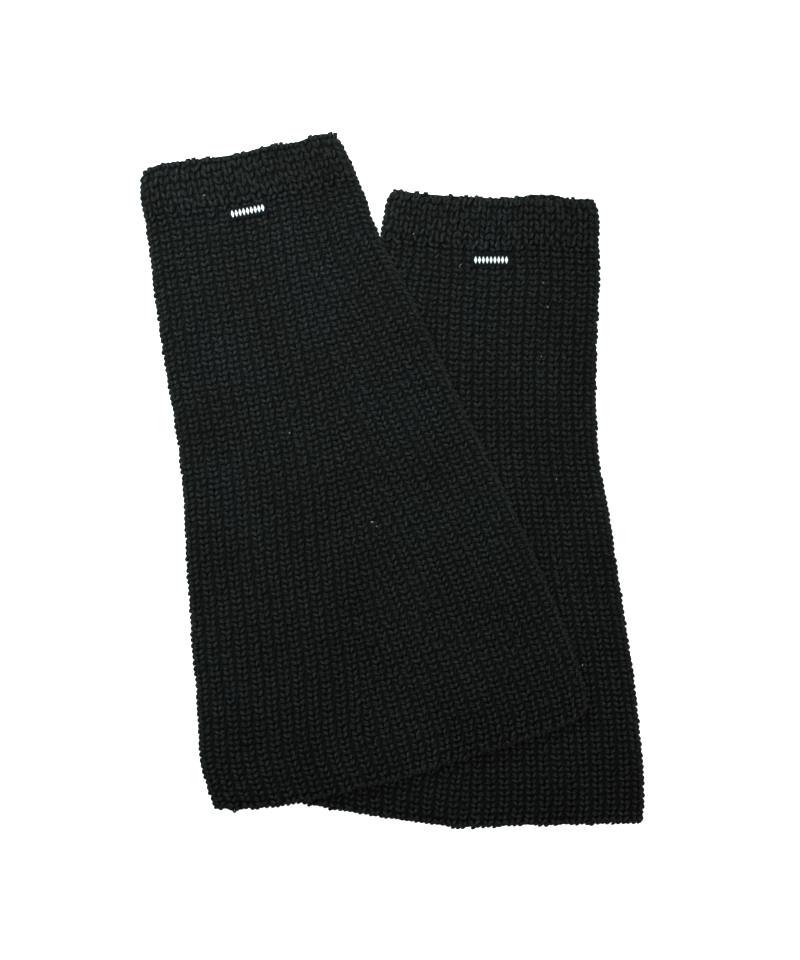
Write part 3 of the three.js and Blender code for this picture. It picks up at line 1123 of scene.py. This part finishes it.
class LEGWARMERS_OT_band_stitches(bpy.types.Operator):
    """Knit the turned top bands, with the stitches that run over their top edges"""

    bl_idname = "leg_warmers.band_stitches"
    bl_label = "Band stitches"

    def execute(self, context):
        knit = context.scene.leg_warmers_knit
        material = material_for("spun_wool_acrylic_yarn")
        rng = np.random.default_rng(SEED + 1)
        for warmer in WARMERS:
            share = RIGHT_BAND_SHARE if warmer is RIGHT else 1.0
            course = knit.band_course / MM * share
            rise = knit.band_rise / MM * share
            lines = rib_rows(warmer, np.arange(BAND_DEPTH + 0.2, 5.6, -course), True)
            for half in ("front", "back"):
                kind = Knitting(half == "front", True, rise)
                stitch_piece(warmer, f"{warmer.name}_{half}_band_ribs", lines, knit, kind, material, rng)
            for half in ("front", "back"):
                self.turned_edge(warmer, knit, half, material, rng)
        return {"FINISHED"}

    def turned_edge(self, warmer, knit, half, material, rng):
        """Stitches that run over the turned top edge of a half of the band."""
        front = half == "front"
        radius = yarn_radius(knit) * (1.1 if front else 1.25)
        columns = BAND_RIBS * 2
        left = warmer.left(EDGE_ROW)
        right = warmer.right(EDGE_ROW)
        jitter = chance(rng, columns, 3)
        number = np.arange(columns)[:, None]
        place = (number + 0.5) / columns * (right - left) + left + EDGE_STRAY * jitter[:, :1]
        turn = np.radians(np.linspace(100, -75, len(EDGE_THICKNESS)))[None, :]
        if front:
            middle_down, middle_height = 3.2, 5.3
            reach = middle_down - radius
            rise = BAND_CROWN - radius - middle_height
        else:
            middle_down, middle_height = 1.4, 1.35
            reach = middle_down + BACK_BAND_PEEK - radius + warmer.peek(place)
            rise = BACK_TOP / 2 - radius + 0.35
        across = place + EDGE_SWING * np.where(number % 2 == 0, 1, -1) * np.sin(turn)
        near = np.minimum(across - left, right - across)
        low = np.clip(1 - near / FOLD_REACH, 0, 1) ** 2
        down = middle_down - (reach + EDGE_UNEVEN * jitter[:, 1:2]) * np.cos(turn)
        height = middle_height + rise * np.sin(turn) - low * (1.5 if front else -0.3)
        centre = warmer.lay(down, across, height)
        outward = -np.cos(turn)[..., None] * warmer.down_axis + np.sin(turn)[..., None] * UP
        outward = np.broadcast_to(outward, centre.shape)
        thick = radius * EDGE_THICKNESS * (1 + 0.05 * jitter[:, 2:3])
        yarns(f"{warmer.name}_{half}_band_turned_edge", centre, outward, thick, 6, material, floor=0.0)


# Stitches round a side fold: how far they overlap, how much their two ends lie further in than the place
# along them that stands out most, how unevenly they stand out, and the depth that deepens their painted
# shade, in millimetres
FOLD_OVERLAP = 0.5
FOLD_BULGE = 5.6
FOLD_BULGE_AT = 0.3
FOLD_UNEVEN = 0.35
FOLD_SHADE = 0.5


class LEGWARMERS_OT_fold_stitches(bpy.types.Operator):
    """Knit the column of stitches that turns round each side fold"""

    bl_idname = "leg_warmers.fold_stitches"
    bl_label = "Side folds"

    def execute(self, context):
        knit = context.scene.leg_warmers_knit
        material = material_for("spun_wool_acrylic_yarn")
        rng = np.random.default_rng(SEED + 2)
        for warmer in WARMERS:
            for side in ("left", "right"):
                self.column(warmer, knit, side, material, rng)
        return {"FINISHED"}

    def column(self, warmer, knit, side, material, rng):
        course = knit.course / MM
        radius = yarn_radius(knit) * 0.92
        toward = -1.0 if side == "left" else 1.0
        downs = np.arange(warmer.length - 2.5, 3.5, -course)
        rows = np.repeat(downs, 2)[:, None]
        hand = np.tile([1.0, -1.0], len(downs))[:, None]
        jitter = chance(rng, len(rows), 3)
        u = LEG_STATIONS[None, :]
        down = rows - (course + FOLD_OVERLAP) * u + 0.2 * jitter[:, :1]
        fold = warmer.left(down) if side == "left" else warmer.right(down)
        bulge = FOLD_BULGE * (u - FOLD_BULGE_AT) ** 2 + FOLD_UNEVEN * jitter[:, 2:3]
        across = fold - toward * (radius - 0.15 + bulge)
        height = FOLD_MIDDLE + hand * (0.3 + 1.7 * u**0.8 - 0.8 * u**4)
        centre = warmer.lay(down, across, height)
        outward = toward * warmer.across_axis + hand[..., None] * 0.5 * UP
        outward = unit(np.broadcast_to(outward, centre.shape))
        thick = radius * LEG_THICKNESS * (1 + 0.06 * jitter[:, 1:2])
        name = f"{warmer.name}_{side}_fold_stitches"
        yarns(name, centre, outward, thick, 6, material, floor=0.0, depth=FOLD_SHADE)


class LEGWARMERS_OT_hem(bpy.types.Operator):
    """Chain the edge row along the hem of each panel"""

    bl_idname = "leg_warmers.hem"
    bl_label = "Hem edge rows"

    def execute(self, context):
        knit = context.scene.leg_warmers_knit
        material = material_for("spun_wool_acrylic_yarn")
        rng = np.random.default_rng(SEED + 3)
        for warmer in WARMERS:
            for half in ("front", "back"):
                self.chain(warmer, knit, half, material, rng)
        return {"FINISHED"}

    def chain(self, warmer, knit, half, material, rng):
        """A row of short stitches that each overlap the next one, just inside the hem."""
        front = half == "front"
        radius = yarn_radius(knit) * (0.95 if front else 0.88)
        row = warmer.length - radius - (FRONT_HEM_SHORT if front else 0.0)
        left = float(warmer.left(row))
        right = float(warmer.right(row))
        count = round((right - left) / CHAIN_STEP)
        step = (right - left) / count
        jitter = chance(rng, count, 3)
        u = LEG_STATIONS[None, :]
        start = left + step * np.arange(count)[:, None]
        across = start + (u * CHAIN_OVERLAP - 0.15) * step + 0.2 * jitter[:, :1]
        across = np.clip(across, left + 1.0, right - 1.0)
        down = row - 0.3 + 1.9 * (0.5 - u) + 0.5 * jitter[:, 1:2]
        rounding = quarter_circle(np.clip(np.minimum(across - left, right - across) / FOLD_REACH, 0, 1))
        if front:
            crown = PANEL_CROWN - 1.3 - radius
            height = FRONT_FOLD_HEIGHT + (crown - FRONT_FOLD_HEIGHT - 0.8 * (1 - u) ** 2) * rounding
        else:
            height = BACK_FOLD_HEIGHT + (radius - BACK_FOLD_HEIGHT + 0.5 * (1 - u) ** 2) * rounding
        centre = warmer.lay(down, across, height)
        outward = (UP if front else -UP) + 0.4 * warmer.down_axis
        outward = np.broadcast_to(unit(outward), centre.shape)
        thick = radius * CHAIN_THICKNESS * (1 + 0.12 * jitter[:, 2:3])
        name = f"{warmer.name}_{half}_hem_chain"
        yarns(name, centre, outward, thick, 6, material, floor=None if front else 0.0, depth=CHAIN_SHADE)


# Labels: rows and columns of their tape as shares of its sides, and the thread that sews each end on
TAPE_ALONG = np.concatenate([[-0.5, -0.492, -0.475], np.linspace(-0.45, 0.45, 37), [0.475, 0.492, 0.5]])
TAPE_ACROSS = np.concatenate([[-0.5, -0.47], np.linspace(-0.42, 0.42, 9), [0.47, 0.5]])
SEWING_STITCHES = 6
SEWING_LENGTH = 1.15
SEWING_RADIUS = 0.16


class LEGWARMERS_OT_labels(bpy.types.Operator):
    """Weave the small labels and sew them on under the bands"""

    bl_idname = "leg_warmers.labels"
    bl_label = "Woven labels"

    def execute(self, context):
        label = context.scene.leg_warmers_label
        length = label.length / MM
        width = label.width / MM
        thickness = label.thickness / MM
        for warmer in WARMERS:
            piece = self.tape(warmer, length, width, thickness)
            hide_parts(f"{warmer.name}_label")
            self.sewing(warmer, length, width, thickness)
        return {"FINISHED"}

    def place(self, warmer, x, y, height):
        """A point of the label, from its own middle, on the rib crowns below it."""
        down, across, turn = warmer.label
        angle = math.radians(turn)
        down = down + y * math.cos(angle) - x * math.sin(angle)
        across = across + x * math.cos(angle) + y * math.sin(angle)
        x_plan, y_plan = warmer.plan(down, across)
        sag = 0.12 * np.cos(2 * math.pi * (across - warmer.left(down)) / warmer.pitch(down, True, False))
        lift = warmer.lift(x_plan, y_plan)
        return np.stack([x_plan, y_plan, PANEL_CROWN + LABEL_GAP + height + sag - 0.1 + lift], axis=-1)

    def tape(self, warmer, length, width, thickness):
        """The woven tape, thicker where its two ends are turned under."""
        x, y = np.meshgrid(TAPE_ALONG * length, TAPE_ACROSS * width)
        end = np.clip((length / 2 - np.abs(x)) / 0.5, 0, 1)
        side = np.clip((width / 2 - np.abs(y)) / 0.35, 0, 1)
        doubled = smoothstep((np.abs(x) - length * 0.33) / 1.5)
        top = thickness * (0.35 + (0.38 + 0.27 * doubled) * quarter_circle(end) * quarter_circle(side))
        upper = self.place(warmer, x, y, top)
        lower = self.place(warmer, x, y, 0.0)
        pattern = np.stack([x, y], axis=-1)
        material = material_for("woven_polyester_label")
        return shell(f"{warmer.name}_label_tape", upper, lower, pattern, material)

    def sewing(self, warmer, length, width, thickness):
        """Short thread stitches over the two ends of the label."""
        u = np.linspace(0, 1, 6)
        centres = []
        for end in (-1, 1):
            for share in np.linspace(-0.4, 0.4, SEWING_STITCHES):
                x = end * (length / 2 - 1.0)
                y = share * width + (u - 0.5) * SEWING_LENGTH
                height = thickness + SEWING_RADIUS - 0.5 * (2 * u - 1) ** 4
                centres.append(self.place(warmer, x, y, height))
        centre = np.array(centres)
        outward = np.broadcast_to(UP, centre.shape)
        thick = np.full(centre.shape[:2], SEWING_RADIUS)
        material = material_for("stray_black_fibre")
        yarns(f"{warmer.name}_label_sewing", centre, outward, thick, 5, material)


# Lint caught in the knit: which warmer, place in plan, length, direction in degrees, bend and thickness
LINT = (
    (LEFT, -123.1, 186.8, 1.3, 20, 0.3, 0.44),
    (LEFT, -67.0, 31.0, 1.3, 75, 0.2, 0.44),
    (LEFT, -12.9, -27.7, 2.2, 15, 0.8, 0.3),
    (LEFT, -9.8, -29.6, 1.6, -50, -0.7, 0.2),
    (RIGHT, 14.2, 161.7, 1.0, 40, 0.2, 0.34),
    (RIGHT, 99.3, 129.4, 1.0, 10, 0.3, 0.3),
    (RIGHT, 102.0, 113.5, 1.4, -65, 0.3, 0.3),
    (RIGHT, 98.0, 81.2, 1.0, 30, 0.2, 0.26),
    (RIGHT, 107.9, 0.7, 1.1, 80, 0.2, 0.3),
    (RIGHT, 125.1, -121.4, 1.7, 60, 0.4, 0.34),
    (RIGHT, 45.2, 140.6, 3.4, 65, 0.9, 0.15),
)
LINT_THICKNESS = np.array([0.0, 1.0, 1.0, 0.8, 0.0])

# Stray fibres: how many on each warmer, their thickness, their shortest and longest, how far they keep from
# the ends of the warmer, and how deep their roots are, in millimetres
FUZZ_COUNT = 2600
FUZZ_RADIUS = 0.07
FUZZ_THICKNESS = np.array([0.0, 0.9, 1.0, 0.8, 0.0])
FUZZ_LENGTHS = (1.8, 4.6)
FUZZ_MARGIN = 2.0
FUZZ_ROOT = 0.9

# Knot at the end of the hem's yarn, beside the left warmer's lower left corner, in millimetres
KNOT_PLACE = np.array([-103.8, -216.6, 2.0])
KNOT_SIZE = 0.62
KNOT_RADIUS = 0.8
KNOT_TAIL = np.array([-11.5, 1.4, 0.4])
KNOT_STATIONS = 34


class LEGWARMERS_OT_loose_fibre(bpy.types.Operator):
    """Add stray fibres, specks of lint and the small knot at the hem"""

    bl_idname = "leg_warmers.loose_fibre"
    bl_label = "Loose fibre"

    def execute(self, context):
        knit = context.scene.leg_warmers_knit
        rng = np.random.default_rng(SEED + 4)
        for warmer in WARMERS:
            self.fuzz(warmer, knit, rng)
            self.lint(warmer)
        self.knot()
        return {"FINISHED"}

    def fuzz(self, warmer, knit, rng):
        """Fine fibres that arch out of the front face."""
        u = np.linspace(0, 1, len(FUZZ_THICKNESS))[None, :]
        shares = rng.random((FUZZ_COUNT, 5))
        down = FUZZ_MARGIN + (warmer.length - 2 * FUZZ_MARGIN) * shares[:, :1]
        left = warmer.left(down)
        across = left + (warmer.right(down) - left) * shares[:, 1:2]
        length = FUZZ_LENGTHS[0] + (FUZZ_LENGTHS[1] - FUZZ_LENGTHS[0]) * shares[:, 2:3]
        direction = 2 * math.pi * shares[:, 3:4]
        bow = (shares[:, 4:5] - 0.5) * length * np.sin(math.pi * u)
        down = down + length * (u - 0.5) * np.sin(direction) + bow * np.cos(direction)
        across = across + length * (u - 0.5) * np.cos(direction) - bow * np.sin(direction)
        if not warmer.climbs:
            seen = is_seen(warmer, down[:, 2], across[:, 2])
            down, across, shares = down[seen], across[seen], shares[seen]
        down = np.clip(down, 1.0, warmer.length - 1.0)
        depth = FUZZ_ROOT - (4.4 + 3.6 * shares[:, 4:5]) * u * (1 - u) * 1.3
        crown = np.where(down < BAND_DEPTH, BAND_CROWN, PANEL_CROWN)
        across, height, outward = on_face(warmer, down, across, depth, yarn_radius(knit), True, crown)
        centre = warmer.lay(down, across, height - 0.8 * turn_sink(down))
        thick = FUZZ_RADIUS * np.broadcast_to(FUZZ_THICKNESS, depth.shape)
        yarns(f"{warmer.name}_fuzz", centre, outward, thick, 3, material_for("stray_black_fibre"))

    def lint(self, warmer):
        """White specks of lint, each a short curl."""
        u = np.linspace(0, 1, len(LINT_THICKNESS))
        arch = np.sin(math.pi * u)
        centres = []
        thicknesses = []
        for owner, x, y, length, turn, bend, thickness in LINT:
            if owner is not warmer:
                continue
            thicknesses.append(thickness)
            along = length * (u - 0.5)
            aside = bend * arch
            angle = math.radians(turn)
            plan_x = x + along * math.cos(angle) - aside * math.sin(angle)
            plan_y = y + along * math.sin(angle) + aside * math.cos(angle)
            height = PANEL_CROWN + 0.2 + 0.3 * arch + warmer.lift(plan_x, plan_y)
            centres.append(np.stack([plan_x, plan_y, height], axis=-1))
        centre = np.array(centres)
        outward = np.broadcast_to(UP, centre.shape)
        thick = np.array(thicknesses)[:, None] / 2 * LINT_THICKNESS
        yarns(f"{warmer.name}_lint", centre, outward, thick, 5, material_for("cotton_lint"))

    def knot(self):
        """The knot is a three-lobed loop, with its tail up to the hem."""
        t = np.linspace(0.25, 2 * math.pi - 0.1, KNOT_STATIONS)
        lobes = [np.sin(t) + 2 * np.sin(2 * t), np.cos(t) - 2 * np.cos(2 * t), -np.sin(3 * t)]
        loop = KNOT_PLACE + KNOT_SIZE * np.stack(lobes, axis=-1)
        share = np.linspace(0, 1, KNOT_STATIONS)[:, None]
        tail = KNOT_PLACE + KNOT_TAIL * share + np.array([0, -0.5, 0]) * np.sin(3 * math.pi * share)
        centre = np.array([loop, tail])
        outward = np.broadcast_to(np.array([0.1, 0.1, 1.0]), centre.shape)
        thick = np.full(centre.shape[:2], KNOT_RADIUS)
        yarns("left_hem_knot", centre, outward, thick, 6, material_for("spun_wool_acrylic_yarn"), floor=0.0)


# Soft lights: name, place, the point that each looks at, size, spread in degrees, share of power, colour
LIGHTS = (
    ("gridded_softbox", (-0.2, 0.3, 1.1), (-0.18, 0.27, 0.0), 0.7, 57, 1.5, "#e7fbff"),
    ("left_softbox", (-0.42, 0.5, 0.66), (-0.08, 0.05, 0.0), 0.5, 180, 2.9, "#d6faf9"),
    ("right_softbox", (0.56, -0.48, 0.68), (0.16, -0.2, 0.0), 0.6, 180, 2.8, "#fffdf8"),
)

# Floor: how far it reaches from the middle, how many squares wide it is, and its depth below the cloth
FLOOR_REACH = 3.0
FLOOR_SQUARES = 12
FLOOR_DROP = 0.0003


class LEGWARMERS_OT_stage(bpy.types.Operator):
    """Set up the pale floor, the soft lights and the camera"""

    bl_idname = "leg_warmers.stage"
    bl_label = "Stage"

    def execute(self, context):
        stage = context.scene.leg_warmers_stage
        self.floor()
        self.lights(context.scene, stage)
        self.camera(context.scene, stage)
        return {"FINISHED"}

    def floor(self):
        side = np.linspace(-FLOOR_REACH, FLOOR_REACH, FLOOR_SQUARES + 1)
        x, y = np.meshgrid(side, side)
        points = np.stack([x, y, np.full_like(x, -FLOOR_DROP)], axis=-1).reshape(-1, 3)
        across = FLOOR_SQUARES + 1
        faces = []
        for row in range(FLOOR_SQUARES):
            for column in range(FLOOR_SQUARES):
                a = row * across + column
                faces.append((a, a + 1, a + across + 1, a + across))
        mesh = bpy.data.meshes.new("floor")
        mesh.from_pydata(points.tolist(), [], faces)
        mesh.materials.append(material_for("opal_acrylic_sheet"))
        floor = bpy.data.objects.new("floor", mesh)
        bpy.context.scene.collection.objects.link(floor)

    def lights(self, scene, stage):
        for name, place, target, size, spread, share, colour in LIGHTS:
            data = bpy.data.lights.new(name, "AREA")
            data.shape = "DISK"
            data.size = size
            data.spread = math.radians(spread)
            data.color = linear(colour)
            data.energy = stage.key * share
            light = bpy.data.objects.new(name, data)
            light.location = place
            away = np.array(place) - np.array(target)
            tilt = math.acos(away[2] / np.linalg.norm(away))
            light.rotation_euler = (tilt, 0.0, math.atan2(away[1], away[0]) + math.pi / 2)
            scene.collection.objects.link(light)
        world = bpy.data.worlds.new("studio")
        world.use_nodes = True
        background = world.node_tree.nodes["Background"]
        background.inputs["Color"].default_value = (*linear("#f4f6f7"), 1.0)
        background.inputs["Strength"].default_value = 0.15
        scene.world = world
        scene.view_settings.view_transform = "Standard"
        scene.view_settings.look = "None"

    def camera(self, scene, stage):
        """The camera looks straight down."""
        data = bpy.data.cameras.new("camera")
        data.lens = stage.lens
        data.sensor_width = 36.0
        data.clip_start = 0.05
        data.clip_end = 20.0
        camera = bpy.data.objects.new("camera", data)
        camera.location = (0.0052, 0.0002, stage.camera_height)
        camera.rotation_euler = (0.0, 0.0, 0.0)
        scene.collection.objects.link(camera)
        scene.camera = camera


class LEGWARMERS_OT_lay(bpy.types.Operator):
    """A last step, which does nothing"""

    bl_idname = "leg_warmers.lay"
    bl_label = "Lay the cloth"

    def execute(self, context):
        return {"FINISHED"}


class LEGWARMERS_PT_sidebar(bpy.types.Panel):
    """Steps that build the leg warmers, with their sizes and colours"""

    bl_label = "Leg warmers"
    bl_idname = "LEGWARMERS_PT_sidebar"
    bl_space_type = "VIEW_3D"
    bl_region_type = "UI"
    bl_category = "Leg warmers"

    def draw(self, context):
        layout = self.layout
        for group in (
            context.scene.leg_warmers_knit,
            context.scene.leg_warmers_label,
            context.scene.leg_warmers_stage,
        ):
            column = layout.column(align=True)
            for key in group.__annotations__:
                column.prop(group, key)
        for step in STEPS:
            layout.operator(step.bl_idname)


STEPS = (
    LEGWARMERS_OT_finishes,
    LEGWARMERS_OT_ground,
    LEGWARMERS_OT_panel_stitches,
    LEGWARMERS_OT_band_stitches,
    LEGWARMERS_OT_fold_stitches,
    LEGWARMERS_OT_hem,
    LEGWARMERS_OT_labels,
    LEGWARMERS_OT_loose_fibre,
    LEGWARMERS_OT_stage,
    LEGWARMERS_OT_lay,
)
CLASSES = (KnitSettings, LabelSettings, StageSettings, *STEPS, LEGWARMERS_PT_sidebar)


def register():
    for cls in CLASSES:
        bpy.utils.register_class(cls)
    bpy.types.Scene.leg_warmers_knit = bpy.props.PointerProperty(type=KnitSettings)
    bpy.types.Scene.leg_warmers_label = bpy.props.PointerProperty(type=LabelSettings)
    bpy.types.Scene.leg_warmers_stage = bpy.props.PointerProperty(type=StageSettings)


def unregister():
    del bpy.types.Scene.leg_warmers_stage
    del bpy.types.Scene.leg_warmers_label
    del bpy.types.Scene.leg_warmers_knit
    for cls in reversed(CLASSES):
        bpy.utils.unregister_class(cls)


def main():
    register()
    bpy.ops.leg_warmers.finishes()
    bpy.ops.leg_warmers.ground()
    bpy.ops.leg_warmers.panel_stitches()
    bpy.ops.leg_warmers.band_stitches()
    bpy.ops.leg_warmers.fold_stitches()
    bpy.ops.leg_warmers.hem()
    bpy.ops.leg_warmers.labels()
    bpy.ops.leg_warmers.loose_fibre()
    bpy.ops.leg_warmers.stage()
    bpy.ops.leg_warmers.lay()


if __name__ == "__main__":
    main()
